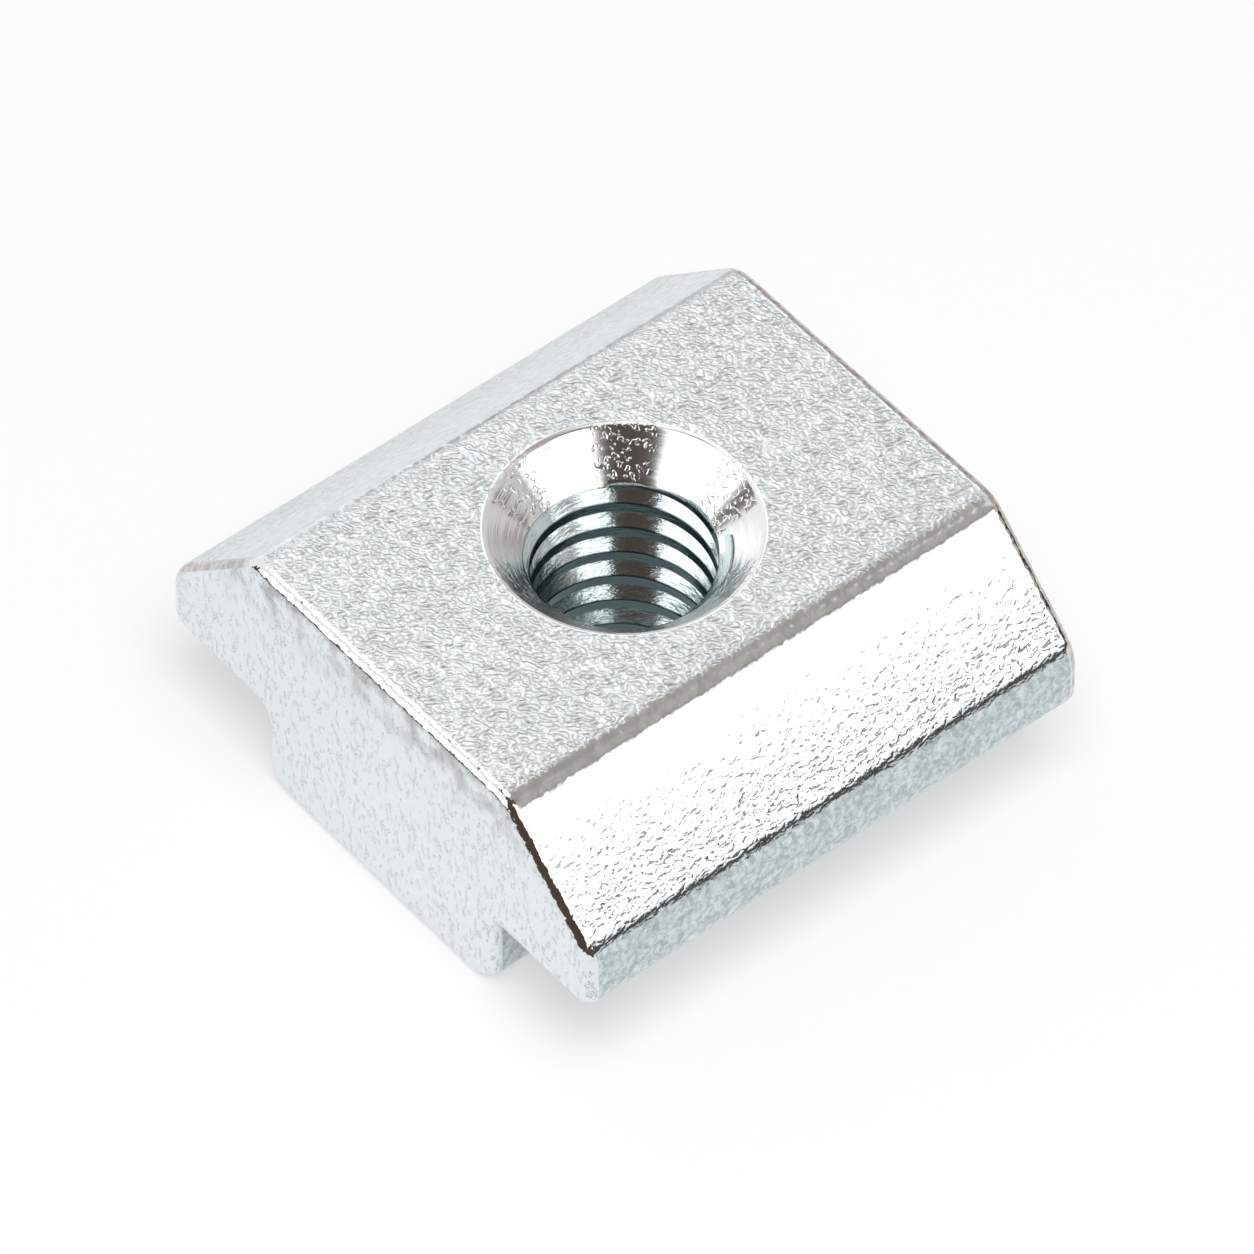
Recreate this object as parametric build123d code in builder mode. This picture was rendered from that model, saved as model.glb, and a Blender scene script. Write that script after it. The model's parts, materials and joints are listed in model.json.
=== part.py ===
from build123d import *
import os

# Slide-in T-slot nut for an M6 screw in a slot 10 mm wide. It is a length of stepped bar,
# drilled, countersunk and tapped through the middle, standing on the flat of its neck.
# Millimetres. X is across the slot, Y along it, Z up. The origin is on the axis of the
# hole, at the flat of the neck.

# the bar's section
length = 17.2             # along the slot, from one cut end to the other
body_width = 18.0         # over the two upright sides
body_height = 8.5         # from the flat of the neck to the flat top
top_width = 10.8          # between the crests of the two flanks
flank_foot_height = 5.05  # where each flank meets its upright side
neck_width = 9.8          # slides in the slot
neck_height = 2.95        # from the neck's flat up to the shoulders

# the bar's rounded corners, as drawn
crest_round = 1.2         # top into flank
flank_foot_round = 1.5    # flank into upright side
shoulder_edge_round = 0.6  # upright side into shoulder
neck_root_round = 0.5     # shoulder into neck, hollow
neck_edge_round = 1.0     # neck into its flat

# the cut ends
end_round = 0.35          # tumbled edge all round each end

# the screw hole
thread_minor = 5.1        # bore over the crests of the thread
countersink_rim = 7.55    # countersink at the top, before its rim is rounded
countersink_angle = 90
rim_round = 0.25          # rim of the countersink
mouth_chamfer = 0.5       # mouth of the hole in the neck


with BuildPart() as t_slot_nut:
    # one half of the section, from the neck's flat round to the top, then its mirror image
    with BuildSketch(Plane.XZ):
        with BuildLine():
            FilletPolyline(
                (0, 0),
                (neck_width / 2, 0),
                (neck_width / 2, neck_height),
                (body_width / 2, neck_height),
                (body_width / 2, flank_foot_height),
                (top_width / 2, body_height),
                (0, body_height),
                radius=[
                    neck_edge_round,
                    neck_root_round,
                    shoulder_edge_round,
                    flank_foot_round,
                    crest_round,
                ],
            )
            mirror(about=Plane.YZ)
        make_face()
    extrude(amount=length / 2, both=True)

    cut_ends = t_slot_nut.faces().filter_by(Axis.Y)
    fillet(cut_ends.edges(), end_round)

    with Locations((0, 0, body_height)):
        CounterSinkHole(
            radius=thread_minor / 2,
            counter_sink_radius=countersink_rim / 2,
            counter_sink_angle=countersink_angle,
        )
    top = t_slot_nut.faces().filter_by(Axis.Z).sort_by(Axis.Z)[-1]
    fillet(top.edges().filter_by(GeomType.CIRCLE), rim_round)
    neck_flat = t_slot_nut.faces().filter_by(Axis.Z).sort_by(Axis.Z)[0]
    chamfer(neck_flat.edges().filter_by(GeomType.CIRCLE), mouth_chamfer)

t_slot_nut.part.label = "t_slot_nut"

os.makedirs("parts", exist_ok=True)
export_step(t_slot_nut.part, "parts/t_slot_nut.step")
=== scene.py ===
import json
import math
import bpy
import numpy as np
from mathutils import Matrix, Vector


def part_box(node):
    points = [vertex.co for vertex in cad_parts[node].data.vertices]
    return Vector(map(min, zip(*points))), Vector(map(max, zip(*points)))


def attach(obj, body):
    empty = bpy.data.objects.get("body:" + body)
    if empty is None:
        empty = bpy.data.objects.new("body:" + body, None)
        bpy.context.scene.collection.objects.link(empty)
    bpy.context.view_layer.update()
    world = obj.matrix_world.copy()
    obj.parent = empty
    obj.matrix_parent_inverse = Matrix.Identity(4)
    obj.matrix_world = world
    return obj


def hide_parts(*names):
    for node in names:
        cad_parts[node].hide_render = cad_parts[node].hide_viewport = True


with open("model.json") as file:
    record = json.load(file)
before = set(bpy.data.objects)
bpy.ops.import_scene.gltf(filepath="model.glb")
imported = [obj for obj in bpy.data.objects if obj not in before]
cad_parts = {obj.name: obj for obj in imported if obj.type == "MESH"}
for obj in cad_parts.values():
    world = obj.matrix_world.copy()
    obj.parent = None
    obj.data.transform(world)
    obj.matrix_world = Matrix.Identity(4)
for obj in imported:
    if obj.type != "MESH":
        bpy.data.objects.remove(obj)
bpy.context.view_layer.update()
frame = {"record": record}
NODE = "t_slot_nut"
MM = 0.001

# ---------------------------------------------------------------- sizes, in millimetres
# The overall box, the shoulder and the bore come from the frame. The rest of the bar and
# of the hole repeats the part's own named sizes.
LOW, HIGH = (np.array(corner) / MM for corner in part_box(NODE))
MOUNT = {mount["name"]: mount for mount in frame["record"]["mounts"]}
HALF_WIDTH, HALF_LENGTH, HEIGHT = HIGH
SHOULDER = MOUNT["shoulder_right"]["pos_m"][2] / MM
MINOR_RADIUS = MOUNT["screw_thread"]["dims"]["r_mm"]

HALF_TOP = 10.8 / 2
HALF_NECK = 9.8 / 2
FLANK_FOOT = 5.05
CREST_ROUND = 1.2
FLANK_FOOT_ROUND = 1.5
SHOULDER_EDGE_ROUND = 0.6
NECK_ROOT_ROUND = 0.5
NECK_EDGE_ROUND = 1.0
END_ROUND = 0.35
STRAIGHT = HALF_LENGTH - END_ROUND      # half the bar between its rounded ends

RIM_RADIUS = 7.55 / 2
RIM_ROUND = 0.25
RIM_EDGE = RIM_RADIUS + RIM_ROUND * math.tan(math.pi / 8)   # where the rounded rim meets the top
MOUTH_CHAMFER = 0.5
CONE_APEX = HEIGHT - RIM_RADIUS         # height at which the 90 degree countersink would end
PITCH = 1.0
GROOVE_DEPTH = 0.36     # shallower than the standard's, so that its flanks catch the light
FLANK_LEAN = math.radians(40)           # of a flank from square to the axis, for the same reason
CREST_FLAT = 0.32       # share of a turn that stays at the bore
FLANK_RISE = GROOVE_DEPTH * math.tan(FLANK_LEAN) / PITCH    # share of a turn on each flank
THREAD_EDGE = 0.006     # half the width of a thread's rounded edge, as a share of a turn
MAJOR_RADIUS = MINOR_RADIUS + GROOVE_DEPTH

# ---------------------------------------------------------------- grid steps
ALONG = 76              # steps along the bar
ACROSS = 46             # steps across its two flats
ROUND_STEPS = 8         # steps round a rounded corner
RUBBED_STEPS = 5        # of these, the ones that tumbling rubbed bright on an end's edge
RUN_STEP = 0.3          # about how long a step is on a straight run of the section
FLAT_STEP = 0.3         # an end's own first step onto its flat, as a share of its rounding
CONE_STEPS = 10         # steps down the countersink
SPOKE_STEPS = (0, 0.02, 0.15, 0.3, 0.45, 0.6, 0.75, 0.9, 1)     # of a flat, from its hole outwards
WELD_DIGITS = 5         # decimals of a millimetre at which points count as one

PATCHES = 6             # of pits round the countersink
FIRST_PATCH = math.radians(140.6)       # direction of the middle of one of them

GRAINED, RUBBED, SAWN, TURNED, TAPPED = range(5)


# ---------------------------------------------------------------- the nut's surfaces
def rounded_corner(before, corner, after, radius):
    """An arc of the given radius that touches both legs of a corner. Its centre lies on
    the corner's bisector, at radius over the sine of half the corner's angle."""
    before, corner, after = (np.array(p, float) for p in (before, corner, after))
    one = (before - corner) / np.linalg.norm(before - corner)
    two = (after - corner) / np.linalg.norm(after - corner)
    half = math.acos(np.clip(one @ two, -1, 1)) / 2
    centre = corner + (one + two) / np.linalg.norm(one + two) * radius / math.sin(half)
    start = corner + one * radius / math.tan(half) - centre
    end = corner + two * radius / math.tan(half) - centre
    sweep = math.atan2(start[0] * end[1] - start[1] * end[0], start @ end)
    angle = math.atan2(start[1], start[0]) + sweep * np.linspace(0, 1, ROUND_STEPS + 1)
    ring = np.stack([np.cos(angle), np.sin(angle)], 1)
    return centre + radius * ring, ring * np.sign(-sweep)


def right_half():
    """The bar's right side from the edge of the top to the edge of the neck's flat: five
    rounded corners joined by straight runs, with the outward normal at each point."""
    corners = [
        (0, HEIGHT),
        (HALF_TOP, HEIGHT),
        (HALF_WIDTH, FLANK_FOOT),
        (HALF_WIDTH, SHOULDER),
        (HALF_NECK, SHOULDER),
        (HALF_NECK, 0),
        (0, 0),
    ]
    rounds = [CREST_ROUND, FLANK_FOOT_ROUND, SHOULDER_EDGE_ROUND, NECK_ROOT_ROUND, NECK_EDGE_ROUND]
    points, normals = [], []
    for before, corner, after, radius in zip(corners, corners[1:], corners[2:], rounds):
        arc, out = rounded_corner(before, corner, after, radius)
        if points:
            run = arc[0] - points[-1][-1]
            steps = max(2, round(np.linalg.norm(run) / RUN_STEP))
            share = np.linspace(0, 1, steps + 1)[1:-1, None]
            points.append(points[-1][-1] + share * run)
            normals.append(np.repeat(out[:1], len(share), 0))
        points.append(arc)
        normals.append(out)
    return np.vstack(points), np.vstack(normals)


def quads(rows, columns, wrap=False, flip=False):
    """Corner numbers of the quads of a grid stored row by row."""
    across = np.arange(columns if wrap else columns - 1)
    row, here = np.meshgrid(np.arange(rows - 1) * columns, across, indexing="ij")
    there = (here + 1) % columns
    faces = np.stack([row + here, row + there, row + columns + there, row + columns + here], -1)
    faces = faces.reshape(-1, 4)
    return faces[:, ::-1] if flip else faces


def side(x_sign):
    """One side of the bar: its half section, carried straight along Y."""
    section, _ = right_half()
    along = np.linspace(-STRAIGHT, STRAIGHT, ALONG + 1)
    x = np.repeat(section[:, :1] * x_sign, len(along), 1)
    y = np.repeat(along[None], len(section), 0)
    z = np.repeat(section[:, 1:], len(along), 1)
    return np.stack([x, y, z], -1), quads(len(section), len(along), flip=x_sign > 0)


def end(y_sign):
    """One tumbled end: the whole outline drawn in by a quarter circle as it runs out along
    Y, then one step further in on the flat, which keeps the flat's shading flat. The edge
    is rubbed bright all round the far end. On the near end it is rubbed down to the foot of
    the right flank and all down the left side, and looks sawn below that."""
    right, right_out = right_half()
    left, left_out = right[::-1] * [-1, 1], right_out[::-1] * [-1, 1]
    flat = np.linspace(-1, 1, ACROSS + 1)[1:-1]
    top = np.stack([flat * right[0, 0], np.full(len(flat), HEIGHT)], 1)
    neck = np.stack([-flat * right[-1, 0], np.zeros(len(flat))], 1)
    outline = np.vstack([top, right, neck, left])
    up, down = np.tile([0, 1], (len(flat), 1)), np.tile([0, -1], (len(flat), 1))
    out = np.vstack([up, right_out, down, left_out])
    turn = np.linspace(0, math.pi / 2, ROUND_STEPS + 1)
    inset = END_ROUND * np.append(1 - np.cos(turn), 1 + FLAT_STEP)
    reach = STRAIGHT + END_ROUND * np.append(np.sin(turn), 1.0)
    drawn_in = outline - out * inset[:, None, None]
    y = np.repeat(reach[:, None] * y_sign, len(outline), 1)
    faces = quads(len(reach), len(outline), True, y_sign < 0)
    exposed = (outline[:, 1] > FLANK_FOOT) | (outline[:, 0] < -HALF_TOP) | (y_sign > 0)
    rubbed = (np.arange(len(reach) - 1) < RUBBED_STEPS)[:, None] & exposed
    slots = np.where(rubbed, RUBBED, SAWN).ravel()
    return np.stack([drawn_in[..., 0], y, drawn_in[..., 1]], -1), faces, slots


def edge_loop(half):
    """The border of a flat, once round: the same steps as the bar's sides and ends."""
    across = np.linspace(-half, half, ACROSS + 1)
    along = np.linspace(-STRAIGHT, STRAIGHT, ALONG + 1)[1:-1]
    right, far = np.full(len(along), half), np.full(len(across), STRAIGHT)
    x = np.concatenate([across, right, across[::-1], -right])
    y = np.concatenate([-far, along, far, along[::-1]])
    return np.stack([x, y], 1)


def hole_angles():
    """The direction from the hole's axis to each step of the top's border, once round."""
    border = edge_loop(right_half()[0][0, 0])
    return np.arctan2(border[:, 1], border[:, 0])


def flat_ring(z, radius, half, upward):
    """A flat with a round hole: straight spokes from the hole's edge to the border."""
    angle = hole_angles()
    circle = radius * np.stack([np.cos(angle), np.sin(angle)], 1)
    share = np.array(SPOKE_STEPS)[:, None, None]
    plane = (1 - share) * circle + share * edge_loop(half)
    ring = np.concatenate([plane, np.full(plane.shape[:2] + (1,), z)], -1)
    return ring, quads(len(share), len(angle), True, upward)


def thread_depth(turn):
    """Depth of the groove as a share of the full depth, over one turn: nothing on the
    crest, straight flanks, and a flat root."""
    away = np.abs((turn + 0.5) % 1 - 0.5)
    return np.clip((away - CREST_FLAT / 2) / FLANK_RISE, 0, 1)


def turn_rows():
    """The rows of one turn, as shares of it: two close pairs at each of the groove's four
    edges, which keep them crisp, and one in the middle of each crest, flank and root."""
    edges = CREST_FLAT / 2 + np.array([0, FLANK_RISE])
    middles = np.array([0, edges.mean(), 0.5, 1 - edges.mean()])
    pairs = np.append(edges, 1 - edges)[:, None] + THREAD_EDGE * np.array([-3, -1, 1, 3])
    return np.sort(np.append(pairs, middles))


def countersink():
    """The rounded rim, an eighth of a circle, and the 45 degree wall down to the depth at
    which the thread's groove runs out."""
    bend = np.linspace(0, math.pi / 4, ROUND_STEPS)
    rim = HEIGHT - RIM_ROUND * (1 - np.cos(bend))
    cone = np.linspace(rim[-1], CONE_APEX + MAJOR_RADIUS, CONE_STEPS)[1:]
    z = np.append(rim, cone)
    r = np.append(RIM_EDGE - RIM_ROUND * np.sin(bend), cone - CONE_APEX)
    angle = hole_angles()
    spokes = np.stack([np.cos(angle), np.sin(angle)], 1)
    wall = spokes * r[:, None, None]
    height = np.repeat(z[:, None], len(angle), 1)
    return np.concatenate([wall, height[..., None]], -1), quads(len(z), len(angle), True)


def tapped_bore():
    """The rest of the hole: whichever of groove, countersink and mouth cuts deepest, on
    rows that climb one pitch each time round, as the right-hand thread does."""
    top = CONE_APEX + MAJOR_RADIUS
    angle = hole_angles()
    angle = np.append(np.unwrap(angle), angle[0] + 2 * math.pi)
    turns = angle / (2 * math.pi)
    rows = (np.arange(-2, math.ceil(top / PITCH) + 2)[:, None] + turn_rows()).ravel()[::-1]
    z = np.clip((rows[:, None] + turns) * PITCH, 0, top)
    groove = MINOR_RADIUS + (MAJOR_RADIUS - MINOR_RADIUS) * thread_depth(z / PITCH - turns)
    r = np.maximum(groove, z - CONE_APEX)
    r = np.maximum(r, MINOR_RADIUS + MOUTH_CHAMFER - z)
    r = np.where(z <= 0, MINOR_RADIUS + MOUTH_CHAMFER, r)
    spokes = np.stack([np.cos(angle), np.sin(angle)], 1)
    faces = quads(len(rows), len(angle))
    on_cone = (r <= z - CONE_APEX).ravel()[faces].all(1)
    slots = np.where(on_cone, TURNED, TAPPED)
    return np.concatenate([spokes * r[..., None], z[..., None]], -1), faces, slots


def nut_mesh():
    """The whole nut as one closed skin. Grids that share an edge are welded there by their
    rounded coordinates, quads that closed up to a line are dropped, and the last row of
    each end is closed by one flat face."""
    top_half, neck_half = right_half()[0][[0, -1], 0]
    near, far = end(-1), end(1)
    surfaces = [
        (*side(1), GRAINED),
        (*side(-1), GRAINED),
        (*flat_ring(HEIGHT, RIM_EDGE, top_half, True), GRAINED),
        (*flat_ring(0, MINOR_RADIUS + MOUTH_CHAMFER, neck_half, False), GRAINED),
        (*countersink(), TURNED),
        tapped_bore(),
        near,
        far,
    ]
    sizes = [grid[..., 0].size for grid, _, _ in surfaces]
    first = np.concatenate([[0], np.cumsum(sizes)])
    points = np.vstack([grid.reshape(-1, 3) for grid, _, _ in surfaces])
    faces = np.vstack([face + start for (_, face, _), start in zip(surfaces, first)])
    slots = np.concatenate([np.full(len(face), slot) for _, face, slot in surfaces])
    rounded = np.round(points, WELD_DIGITS)
    _, kept, welded = np.unique(rounded, axis=0, return_index=True, return_inverse=True)
    welded = welded.reshape(-1)
    faces = welded[faces]
    fresh = faces != np.roll(faces, 1, 1)
    corners = fresh.sum(1)
    whole = corners > 2
    rim = near[0].shape[1]
    near_last, far_last = first[-2:]
    caps = [welded[near_last - rim:near_last][::-1], welded[far_last - rim:far_last]]
    loops = np.concatenate([faces[fresh & whole[:, None]], *caps])
    totals = np.concatenate([corners[whole], [rim, rim]])
    mesh = bpy.data.meshes.new("zinc_t_slot_nut")
    mesh.vertices.add(len(kept))
    mesh.vertices.foreach_set("co", (points[kept] * MM).ravel())
    mesh.loops.add(len(loops))
    mesh.loops.foreach_set("vertex_index", loops.astype(np.int32))
    mesh.polygons.add(len(totals))
    mesh.polygons.foreach_set("loop_start", (np.cumsum(totals) - totals).astype(np.int32))
    mesh.polygons.foreach_set("material_index", np.append(slots[whole], [SAWN, SAWN]).astype(np.int32))
    mesh.polygons.foreach_set("use_smooth", np.ones(len(totals), bool))
    mesh.update(calc_edges=True)
    return mesh


# ---------------------------------------------------------------- materials
# how far apart the marks of each finish lie, in millimetres
WRINKLES = 0.19         # strokes on the flat top
BENDS = 0.3             # slow bends, which the scales follow
SCALES = 0.15           # scales of the flanks
CLOUDS = 0.35           # lighter and duller patches of the skin
FLECKS = 0.22           # of the upright sides and the left flank
DENTS = 0.4             # along the rubbed edges
BROWN_PATCHES = 0.25           # painted reflection patches, darker and light brown, on the far and left rubbed edges
NICKS = 0.16            # of a sawn end
BLOOM = 0.7             # grey patches under its top edge
RINGS = 0.12            # round the countersink, coarser than real ones, which wouldn't show
PITS = 0.17             # in its wall
STREAKS = 0.5           # dragged round the thread

# how high their relief stands, in millimetres
SKIN_RELIEF = 0.045
RUBBED_RELIEF = 0.045
SAWN_RELIEF = 0.04
TURNED_RELIEF = 0.014
TAPPED_RELIEF = 0.016

SMOOTH = {"interpolation_type": "SMOOTHSTEP"}
BLEND = {"data_type": "RGBA"}
TIMES = {"operation": "MULTIPLY"}
TIMES_PLUS = {"operation": "MULTIPLY_ADD"}
MINUS = {"operation": "SUBTRACT"}
MOST = {"operation": "MAXIMUM"}


def colour(code):
    """A written colour, six hex digits, as linear red, green, blue and full alpha."""
    written = np.array([int(code[i:i + 2], 16) for i in (0, 2, 4)]) / 255
    linear = np.where(written <= 0.04045, written / 12.92, ((written + 0.055) / 1.055) ** 2.4)
    return (*linear.tolist(), 1.0)


def add(tree, kind, settings=None, **inputs):
    """Adds a node, sets its properties, and fills its inputs with values, links or the
    first outputs of other nodes. An input is named, with _ for a space, or numbered, as
    i0, i1 and so on."""
    made = tree.nodes.new(kind)
    for name, value in (settings or {}).items():
        setattr(made, name, value)
    for name, value in inputs.items():
        key = int(name[1:]) if name[1:].isdigit() else name.replace("_", " ")
        socket = made.inputs[key]
        if isinstance(value, bpy.types.Node):
            value = value.outputs[0]
        if isinstance(value, bpy.types.NodeSocket):
            tree.links.new(value, socket)
        else:
            socket.default_value = value
    return made


def metal(name, code, roughness):
    """A new material with a bright metal shader, of one colour and roughness until a
    pattern is linked to them. Returns it, its tree, its shader and its Object coordinates."""
    material = bpy.data.materials.new(name)
    material.use_nodes = True
    tree = material.node_tree
    shader = tree.nodes["Principled BSDF"]
    shader.inputs["Metallic"].default_value = 1.0
    shader.inputs["Base Color"].default_value = colour(code)
    shader.inputs["Roughness"].default_value = roughness
    place = add(tree, "ShaderNodeTexCoord").outputs["Object"]
    return material, tree, shader, place


def grained_zinc():
    """Bright zinc over drawn steel that was tumbled before it was plated. The plate keeps
    the wrinkles of the skin: the eye sees fine light and dark strokes on the grey top, a
    smooth crest, scales that deepen towards the foot of each flank, and flecked upright
    sides, painted darker as painted shade for the floor's shadow that they mirror. The
    left flank is flecked and painted darker too, as painted shade."""
    material, tree, shader, place = metal("grained_zinc_plate", "E4EAEC", 0.3)
    spot = add(tree, "ShaderNodeSeparateXYZ", Vector=place).outputs
    x, z = spot["X"], spot["Z"]
    # four masks: the flat top, how far down a flank, the upright sides and the left flank
    on_top = add(
        tree, "ShaderNodeMapRange", SMOOTH,
        Value=z, From_Min=(HEIGHT - 0.1) * MM, From_Max=HEIGHT * MM,
    )
    lower = add(
        tree, "ShaderNodeMapRange",
        Value=z, From_Min=(HEIGHT - 0.65) * MM, From_Max=(FLANK_FOOT + 0.6) * MM,
    )
    upright = add(
        tree, "ShaderNodeMapRange", SMOOTH,
        Value=z, From_Min=(FLANK_FOOT + 0.5) * MM, From_Max=(FLANK_FOOT + 0.15) * MM,
    )
    on_left = add(
        tree, "ShaderNodeMapRange", SMOOTH,
        Value=x, From_Min=-HALF_TOP * MM, From_Max=-(HALF_TOP + 0.5) * MM, To_Max=0.75,
    )
    # the wrinkles of the top lie a little aslant, and are longer than they are wide
    slant = add(
        tree, "ShaderNodeMapping", {"vector_type": "TEXTURE"},
        Vector=place, Rotation=(0, 0, math.radians(50)), Scale=(1.35, 1.0, 1.0),
    )
    skin = add(tree, "ShaderNodeTexNoise", Vector=slant, Scale=1 / (WRINKLES * MM), Detail=0.5)
    fold = add(tree, "ShaderNodeMath", {"operation": "PINGPONG"}, i0=skin, i1=0.14)
    wrinkles = add(tree, "ShaderNodeMath", TIMES, i0=fold, i1=on_top)
    # the scales of the flanks, drawn out along the bar and bent, shallower on the upright sides
    bend = add(tree, "ShaderNodeTexNoise", Vector=place, Scale=1 / (BENDS * MM), Detail=1.0)
    away = add(tree, "ShaderNodeVectorMath", MINUS, i0=bend.outputs["Color"], i1=(0.5, 0.5, 0.5))
    bent = add(tree, "ShaderNodeVectorMath", TIMES_PLUS, i0=away, i1=(BENDS * MM,) * 3, i2=place)
    drawn = add(tree, "ShaderNodeMapping", Vector=bent, Scale=(1.0, 0.75, 1.0))
    cells = add(tree, "ShaderNodeTexVoronoi", Vector=drawn, Scale=1 / (SCALES * MM))
    dish = add(tree, "ShaderNodeMath", TIMES, i0=cells, i1=cells)
    calm = add(tree, "ShaderNodeMath", TIMES_PLUS, i0=upright, i1=-0.7, i2=1.0)
    deep = add(tree, "ShaderNodeMath", TIMES, i0=lower, i1=calm)
    depth = add(tree, "ShaderNodeMath", TIMES, i0=deep, i1=0.5)
    scales = add(tree, "ShaderNodeMath", TIMES, i0=dish, i1=depth)
    # the crest only wavers
    waver = add(tree, "ShaderNodeMath", TIMES, i0=bend, i1=0.2)
    folds = add(tree, "ShaderNodeMath", TIMES_PLUS, i0=wrinkles, i1=3.1, i2=waver)
    height = add(tree, "ShaderNodeMath", MINUS, i0=folds, i1=scales)
    bump = add(tree, "ShaderNodeBump", Height=height, Distance=SKIN_RELIEF * MM)
    tree.links.new(bump.outputs[0], shader.inputs["Normal"])
    # clouds all over, and flecks on the upright sides and the left flank, which are also painted darker
    # there as painted shade
    clouds = add(tree, "ShaderNodeTexNoise", Vector=place, Scale=1 / (CLOUDS * MM), Detail=3.0)
    cloudy = add(tree, "ShaderNodeMapRange", SMOOTH, Value=clouds, From_Min=0.35, From_Max=0.65)
    skin_tint = add(tree, "ShaderNodeMix", BLEND, i0=cloudy, i6=colour("EBF2F3"), i7=colour("DBE2E3"))
    flecks = add(
        tree, "ShaderNodeTexNoise",
        Vector=bent, Scale=1 / (FLECKS * MM), Detail=3.0, Roughness=0.7,
    )
    flecked = add(tree, "ShaderNodeMapRange", SMOOTH, Value=flecks, From_Min=0.4, From_Max=0.62)
    # the upright sides: real flecks, and painted shade that darkens them for the floor's shadow they mirror
    flecks_and_painted_shade = add(tree, "ShaderNodeMix", BLEND, i0=flecked, i6=colour("E8EAEC"), i7=colour("C2C7CA"))
    sides = add(
        tree, "ShaderNodeMix", {"data_type": "RGBA", "blend_type": "MULTIPLY"},
        i0=upright, i6=skin_tint.outputs[2], i7=flecks_and_painted_shade.outputs[2],
    )
    # the left flank: real flecks, and painted shade that makes it darker than the rest of the skin
    dull = add(tree, "ShaderNodeMix", BLEND, i0=flecked, i6=colour("D2DADB"), i7=colour("B8C1C5"))
    tint = add(tree, "ShaderNodeMix", BLEND, i0=on_left, i6=sides.outputs[2], i7=dull.outputs[2])
    tree.links.new(tint.outputs[2], shader.inputs["Base Color"])
    # the flanks and sides mirror more sharply than the top
    rough = add(tree, "ShaderNodeMath", TIMES_PLUS, i0=on_top, i1=0.16, i2=0.14)
    tree.links.new(rough.outputs[0], shader.inputs["Roughness"])
    return material


def rubbed_zinc():
    """The same plate on the edges that rubbed against others in the tumbler: smoother, with
    small dents that break up the lines it mirrors. The far edge and the left one are
    painted darker and light brown in patches, a painted reflection of the dark surroundings
    that they mirror at a grazing angle."""
    material, tree, shader, place = metal("rubbed_zinc_edge", "E4E8E8", 0.1)
    dents = add(tree, "ShaderNodeTexNoise", Vector=place, Scale=1 / (DENTS * MM), Detail=2.0, Roughness=0.5)
    bump = add(tree, "ShaderNodeBump", Height=dents, Distance=RUBBED_RELIEF * MM)
    tree.links.new(bump.outputs[0], shader.inputs["Normal"])
    spot = add(tree, "ShaderNodeSeparateXYZ", Vector=place).outputs
    # the far edge and the left one: painted reflection, darker and light brown in patches
    far = add(
        tree, "ShaderNodeMapRange", SMOOTH,
        Value=spot["Y"], From_Min=STRAIGHT * MM, From_Max=(STRAIGHT + 0.1) * MM,
    )
    left = add(
        tree, "ShaderNodeMapRange", SMOOTH,
        Value=spot["X"], From_Min=-HALF_TOP * MM, From_Max=-(HALF_TOP + 0.6) * MM,
    )
    far_and_left_edges = add(tree, "ShaderNodeMath", MOST, i0=far, i1=left)
    brown_noise = add(
        tree, "ShaderNodeTexNoise",
        Vector=place, Scale=1 / (BROWN_PATCHES * MM), Detail=3.0, Roughness=0.7,
    )
    brown_share = add(tree, "ShaderNodeMapRange", SMOOTH, Value=brown_noise, From_Min=0.35, From_Max=0.65)
    painted_reflection_brown = add(tree, "ShaderNodeMix", BLEND, i0=brown_share, i6=colour("D4D1CE"), i7=colour("B0AAA6"))
    tint = add(tree, "ShaderNodeMix", BLEND, i0=far_and_left_edges, i6=colour("E4E8E8"), i7=painted_reflection_brown.outputs[2])
    tree.links.new(tint.outputs[2], shader.inputs["Base Color"])
    return material


def sawn_zinc():
    """The cut ends: plate over fine upright saw marks, duller than the skin, with small
    nicks and a grey bloom under the top edge."""
    material, tree, shader, place = metal("sawn_zinc_end", "E4EAEC", 0.3)
    upright = add(tree, "ShaderNodeMapping", Vector=place, Scale=(1.0, 1.0, 0.45))
    marks = add(
        tree, "ShaderNodeTexNoise",
        Vector=upright, Scale=1 / (NICKS * MM), Detail=2.0, Roughness=0.6,
    )
    nicks = add(tree, "ShaderNodeMapRange", SMOOTH, Value=marks, From_Min=0.55, From_Max=0.68)
    height = add(tree, "ShaderNodeMath", TIMES_PLUS, i0=marks, i1=0.6, i2=nicks)
    bump = add(tree, "ShaderNodeBump", Height=height, Distance=SAWN_RELIEF * MM)
    tree.links.new(bump.outputs[0], shader.inputs["Normal"])
    z = add(tree, "ShaderNodeSeparateXYZ", Vector=place).outputs["Z"]
    under_top = add(
        tree, "ShaderNodeMapRange", SMOOTH,
        Value=z, From_Min=(HEIGHT - 2.2) * MM, From_Max=(HEIGHT - 0.4) * MM,
    )
    patches = add(tree, "ShaderNodeTexNoise", Vector=place, Scale=1 / (BLOOM * MM), Detail=2.0)
    cloudy = add(tree, "ShaderNodeMapRange", SMOOTH, Value=patches, From_Min=0.4, From_Max=0.7)
    bloom = add(tree, "ShaderNodeMath", TIMES, i0=under_top, i1=cloudy)
    tint = add(tree, "ShaderNodeMix", BLEND, i0=bloom, i6=colour("E6ECEE"), i7=colour("BEC0C0"))
    tree.links.new(tint.outputs[2], shader.inputs["Base Color"])
    return material


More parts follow.
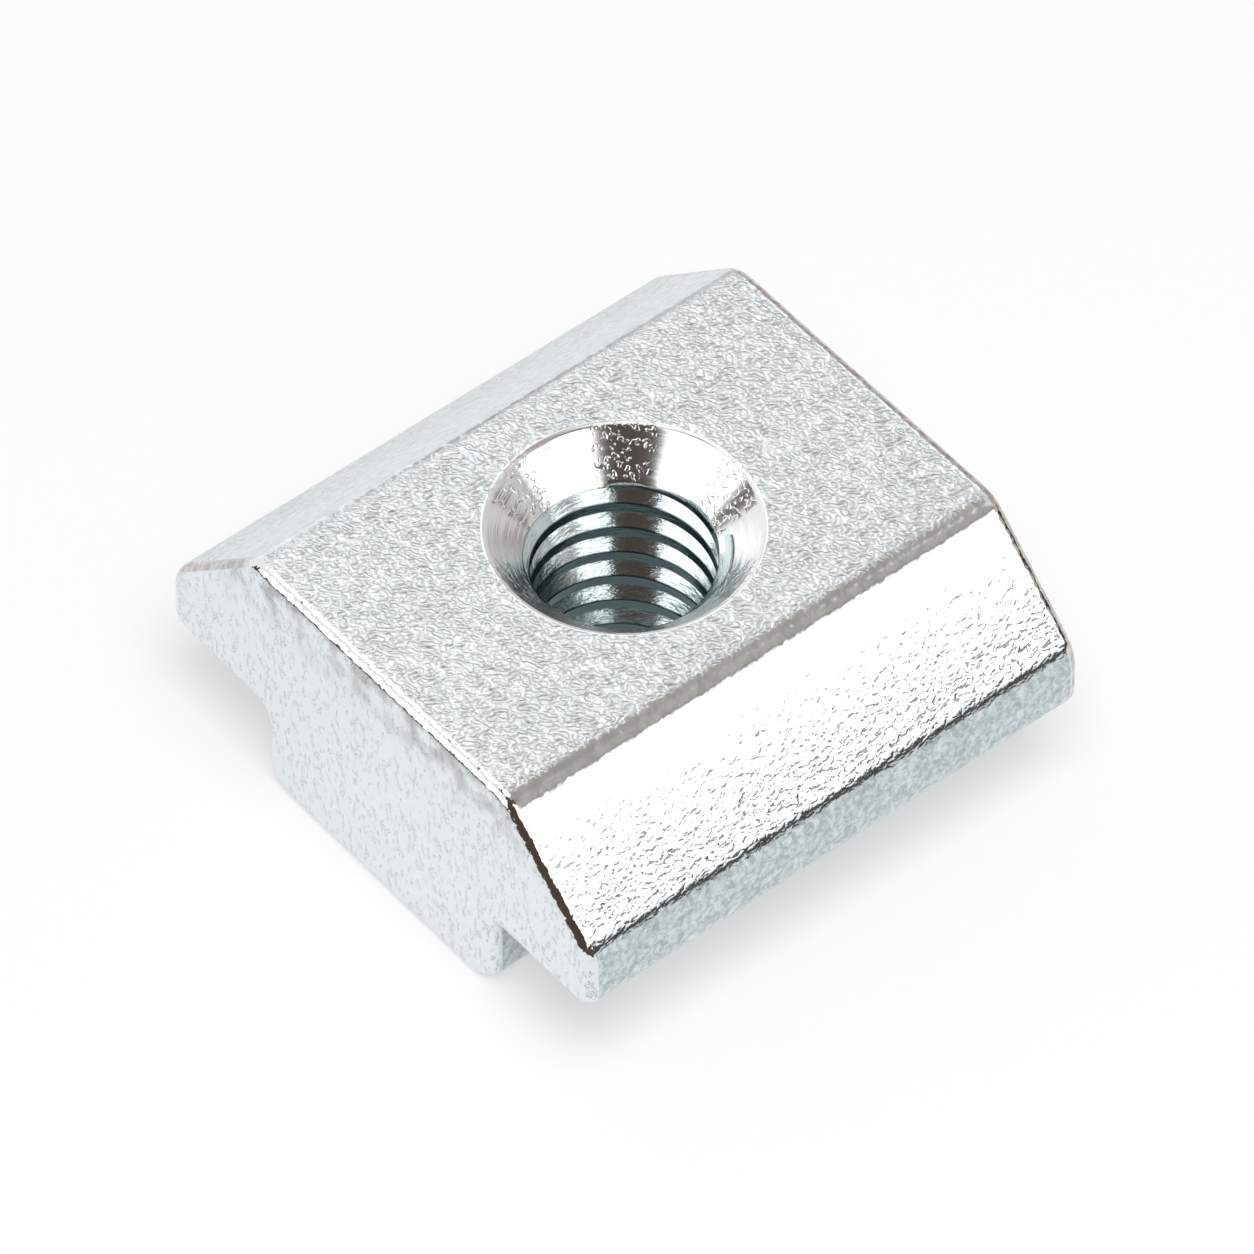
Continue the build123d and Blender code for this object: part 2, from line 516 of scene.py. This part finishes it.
def turned_zinc():
    """The countersink: bright plate on a turned cone. The eye sees a soft mirror with fine
    rings, and pits in patches all round."""
    material, tree, shader, place = metal("turned_countersink", "EAECEC", 0.18)
    spot = add(tree, "ShaderNodeSeparateXYZ", Vector=place).outputs
    upright = add(tree, "ShaderNodeCombineXYZ", Z=spot["Z"])
    rings = add(
        tree, "ShaderNodeTexNoise",
        Vector=upright, Scale=1 / (RINGS * MM), Detail=2.0, Roughness=0.6,
    )
    angle = add(tree, "ShaderNodeMath", {"operation": "ARCTAN2"}, i0=spot["Y"], i1=spot["X"])
    turned = add(tree, "ShaderNodeMath", TIMES_PLUS, i0=angle, i1=PATCHES, i2=-PATCHES * FIRST_PATCH)
    wave = add(tree, "ShaderNodeMath", {"operation": "COSINE"}, i0=turned)
    patch = add(tree, "ShaderNodeMapRange", SMOOTH, Value=wave, From_Min=-0.2, From_Max=0.6)
    pits = add(tree, "ShaderNodeTexNoise", Vector=place, Scale=1 / (PITS * MM), Detail=1.0, Roughness=0.5)
    deep = add(tree, "ShaderNodeMapRange", SMOOTH, Value=pits, From_Min=0.52, From_Max=0.66)
    pitted = add(tree, "ShaderNodeMath", TIMES, i0=deep, i1=patch)
    height = add(tree, "ShaderNodeMath", TIMES_PLUS, i0=rings, i1=0.7, i2=pitted)
    bump = add(tree, "ShaderNodeBump", Height=height, Distance=TURNED_RELIEF * MM)
    tree.links.new(bump.outputs[0], shader.inputs["Normal"])
    return material


def tapped_zinc():
    """The thread: bright plate in a deep hole, with streaks dragged round by the tap. The
    crests are painted a dark grey green against the bright flanks, as painted shade for the
    shaded floor under the nut that they mirror."""
    material, tree, shader, place = metal("tapped_thread", "D4DEE0", 0.14)
    flat = add(tree, "ShaderNodeVectorMath", TIMES, i0=place, i1=(1.0, 1.0, 0.0))
    radius = add(tree, "ShaderNodeVectorMath", {"operation": "LENGTH"}, i0=flat).outputs["Value"]
    # painted shade: the crests are coloured dark grey green for the shaded floor under the nut that they
    # mirror
    past_crest = add(
        tree, "ShaderNodeMapRange", SMOOTH,
        Value=radius, From_Min=(MINOR_RADIUS + 0.01) * MM, From_Max=(MINOR_RADIUS + 0.05) * MM,
    )
    tint = add(tree, "ShaderNodeMix", BLEND, i0=past_crest, i6=colour("5A6B6E"), i7=colour("D2DEE0"))
    tree.links.new(tint.outputs[2], shader.inputs["Base Color"])
    dragged = add(tree, "ShaderNodeMapping", Vector=place, Scale=(1.0, 1.0, 5.0))
    streaks = add(
        tree, "ShaderNodeTexNoise",
        Vector=dragged, Scale=1 / (STREAKS * MM), Detail=3.0, Roughness=0.65,
    )
    bump = add(tree, "ShaderNodeBump", Height=streaks, Distance=TAPPED_RELIEF * MM)
    tree.links.new(bump.outputs[0], shader.inputs["Normal"])
    return material


nut = bpy.data.objects.new("zinc_plated_nut", nut_mesh())
bpy.context.scene.collection.objects.link(nut)
for material in (grained_zinc(), rubbed_zinc(), sawn_zinc(), turned_zinc(), tapped_zinc()):
    nut.data.materials.append(material)
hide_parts(NODE)
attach(nut, "root")

# ---------------------------------------------------------------- stage, light and camera
# angles are in degrees and lengths in metres, except the lens and where the camera aims
AZIMUTH, ELEVATION = 50.6, 49.2         # of the camera
CAMERA_AWAY = 0.35
LENS = 366.6                            # focal length in millimetres, on a 36 mm sensor
AIM_RIGHT, AIM_UP = 0.078, 2.86         # from the part's origin in the view, in millimetres
WALL_AWAY = 0.25                        # softboxes that stand
CEILING = 0.3                           # softboxes that hang level
CLOTH_AWAY, CLOTH_HEIGHT = 1.2, 1.5
FLOOR_HALF = 4
WASH = 0.5                              # share of the floor's look that is plain white
ROOM = 0.4                              # strength of the room's own light
BOX_ASIDE, BOX_HIGH, BOX_AWAY = 10, 68, 0.5     # the floor's box, from the camera's azimuth
BOX_SIZE, BOX_RADIANCE = 0.3, 6.7


def toward(azimuth, elevation):
    """The unit vector towards a place seen from the part: azimuth 0 is where a viewer
    who looks along +Y stands, and it grows towards +X."""
    a, e = math.radians(azimuth), math.radians(elevation)
    return Vector((math.sin(a) * math.cos(e), -math.cos(a) * math.cos(e), math.sin(e)))


def softbox(name, centre, tilt, azimuth, width, height, radiance, tint="FFFFFF"):
    """A plain panel lamp, seen only in the metal's mirror, tilted up from facing down and
    then turned to an azimuth. Its power is its radiance times pi times its area."""
    lamp = bpy.data.lights.new(name, "AREA")
    lamp.shape = "RECTANGLE"
    lamp.size, lamp.size_y = width, height
    lamp.color = colour(tint)[:3]
    lamp.energy = radiance * math.pi * width * height
    made = bpy.data.objects.new(name, lamp)
    made.location = centre
    made.rotation_euler = (math.radians(tilt), 0, math.radians(azimuth))
    made.visible_camera = made.visible_diffuse = False
    bpy.context.scene.collection.objects.link(made)
    return made


def wall_box(name, start, finish, low, high, radiance, tint="FFFFFF"):
    """A softbox that stands upright on one side of the part, between two azimuths from the
    camera's and between two elevations."""
    half = math.radians(finish - start) / 2
    bottom, top = (WALL_AWAY * math.tan(math.radians(e)) for e in (low, high))
    azimuth = AZIMUTH + (start + finish) / 2
    centre = toward(azimuth, 0) * WALL_AWAY + Vector((0, 0, (bottom + top) / 2))
    softbox(name, centre, 90, azimuth, 2 * WALL_AWAY * math.tan(half), top - bottom, radiance, tint)


def ceiling_box(name, rightward, behind, width, depth, radiance, tint="FFFFFF"):
    """A softbox that hangs level over the part, square to the camera's view."""
    sideways, away = toward(AZIMUTH + 90, 0), toward(AZIMUTH + 180, 0)
    centre = sideways * rightward + away * behind + Vector((0, 0, CEILING))
    softbox(name, centre, 0, AZIMUTH, width, depth, radiance, tint)


def panel(name, centre, right, up, material):
    """A flat sheet spanned by two half-edges about its centre."""
    centre, right, up = Vector(centre), Vector(right), Vector(up)
    mesh = bpy.data.meshes.new(name)
    corners = [centre - right - up, centre + right - up, centre + right + up, centre - right + up]
    mesh.from_pydata([tuple(c) for c in corners], [], [(0, 1, 2, 3)])
    mesh.materials.append(material)
    made = bpy.data.objects.new(name, mesh)
    bpy.context.scene.collection.objects.link(made)
    return made


def hang_cloth(number, centre, right, up, material):
    """A sheet of the dark cloth round the stage, glowing painted shade which only the metal
    sees, between the softboxes and behind them."""
    sheet = panel(f"dark_cloth_{number}", centre, right, up, material)
    sheet.visible_camera = sheet.visible_diffuse = False
    sheet.visible_transmission = sheet.visible_shadow = False


def shows_background(tree):
    """1 for the camera's own rays and for those that metal mirrors or glass lets through."""
    ray = add(tree, "ShaderNodeLightPath").outputs
    mirrored = add(tree, "ShaderNodeMath", MOST, i0=ray["Is Glossy Ray"], i1=ray["Is Transmission Ray"])
    return add(tree, "ShaderNodeMath", MOST, i0=ray["Is Camera Ray"], i1=mirrored)


def dark_cloth():
    """Dark brown cloth, painted shade that glows with a fixed strength, as evenly lit as
    cloth far from the lamps is. It gives the metal its dark lines."""
    material = bpy.data.materials.new("dark_cloth")
    material.use_nodes = True
    tree = material.node_tree
    dull = add(tree, "ShaderNodeEmission", Color=colour("50453F"), Strength=1.0)
    tree.links.new(dull.outputs[0], tree.nodes["Material Output"].inputs["Surface"])
    return material


def lit_paper():
    """White studio paper. The camera and the metal see it half washed out, as a bright
    backdrop that keeps the part's shadow."""
    material = bpy.data.materials.new("white_paper")
    material.use_nodes = True
    tree = material.node_tree
    shader = tree.nodes["Principled BSDF"]
    shader.inputs["Base Color"].default_value = colour("F8F8F8")
    shader.inputs["Roughness"].default_value = 0.9
    shader.inputs["Specular IOR Level"].default_value = 0.0
    white = add(tree, "ShaderNodeEmission", Color=colour("FFFFFF"), Strength=1.0)
    wash = add(tree, "ShaderNodeMath", TIMES, i0=shows_background(tree), i1=WASH)
    seen = add(tree, "ShaderNodeMixShader", i0=wash, i1=shader, i2=white)
    tree.links.new(seen.outputs[0], tree.nodes["Material Output"].inputs["Surface"])
    return material


panel("floor", (0, 0, LOW[2] * MM), (FLOOR_HALF, 0, 0), (0, FLOOR_HALF, 0), lit_paper())
cloth = dark_cloth()
for quarter in range(4):
    out, aside = toward(90 * quarter, 0) * CLOTH_AWAY, toward(90 * quarter + 90, 0) * CLOTH_AWAY
    rise = Vector((0, 0, CLOTH_HEIGHT / 2))
    hang_cloth(quarter, out + rise, aside, rise, cloth)
hang_cloth(4, (0, 0, CLOTH_HEIGHT), (CLOTH_AWAY, 0, 0), (0, CLOTH_AWAY, 0), cloth)

wall_box("box_right_front", 24, 60, 15, 56, 1.6)
wall_box("box_right", 60, 88, 15, 38.5, 1.6)
wall_box("box_right_high", 60, 100, 42, 56.4, 0.4, "FFF6F1")
wall_box("box_left", -100, -33, 15, 64, 1.6)
wall_box("box_rear_right_side", 92, 112, 16, 57, 0.65)
wall_box("box_rear_right", 113, 155, 0, 57, 0.65)
wall_box("box_rear_left_side", -112, -101, 30, 64, 0.95)
wall_box("box_rear_left", -164, -113, 0, 66, 0.95)
wall_box("box_rear_high", 156, 195, 37, 58, 1.25)
wall_box("box_rear_low", 156, 195, 0, 36, 0.6)
ceiling_box("ceiling_right", 0.135, 0.065, 0.13, 0.25, 0.34, "FFF8F4")
ceiling_box("ceiling_rear", 0.035, 0.145, 0.07, 0.09, 0.4, "FFF6F1")
ceiling_box("ceiling_left", -0.075, 0.145, 0.15, 0.09, 1.1)
ceiling_box("top_box", -0.016, 0.0, 0.168, 0.19, 1.1)
# one box high in front, which the metal doesn't mirror, lights the floor and gives the shadow
floor_box = softbox(
    "floor_box", toward(AZIMUTH + BOX_ASIDE, BOX_HIGH) * BOX_AWAY, 90 - BOX_HIGH,
    AZIMUTH + BOX_ASIDE, BOX_SIZE, BOX_SIZE, BOX_RADIANCE,
)
floor_box.visible_diffuse = True
floor_box.visible_glossy = False

# the room lights everything evenly, and looks plain white to the camera and the metal
world = bpy.data.worlds.new("studio")
bpy.context.scene.world = world
world.use_nodes = True
sky = world.node_tree
for stock in list(sky.nodes):
    sky.nodes.remove(stock)
room = add(sky, "ShaderNodeBackground", Color=colour("FFFFFF"), Strength=ROOM)
white = add(sky, "ShaderNodeBackground", Color=colour("FFFFFF"), Strength=1.0)
mix = add(sky, "ShaderNodeMixShader", i0=shows_background(sky), i1=room, i2=white)
add(sky, "ShaderNodeOutputWorld", Surface=mix.outputs[0])

scene = bpy.context.scene
scene.view_settings.view_transform = "Standard"
lens = bpy.data.cameras.new("camera")
lens.sensor_width = 36
lens.lens = LENS
lens.clip_start = 0.01
lens.clip_end = 20
camera = bpy.data.objects.new("camera", lens)
back = toward(AZIMUTH, ELEVATION)
right = Vector((math.cos(math.radians(AZIMUTH)), math.sin(math.radians(AZIMUTH)), 0))
up = back.cross(right)
aim = (right * AIM_RIGHT + up * AIM_UP) * MM
place = Matrix((right, up, back)).transposed().to_4x4()
place.translation = aim + back * CAMERA_AWAY
camera.matrix_world = place
scene.collection.objects.link(camera)
scene.camera = camera
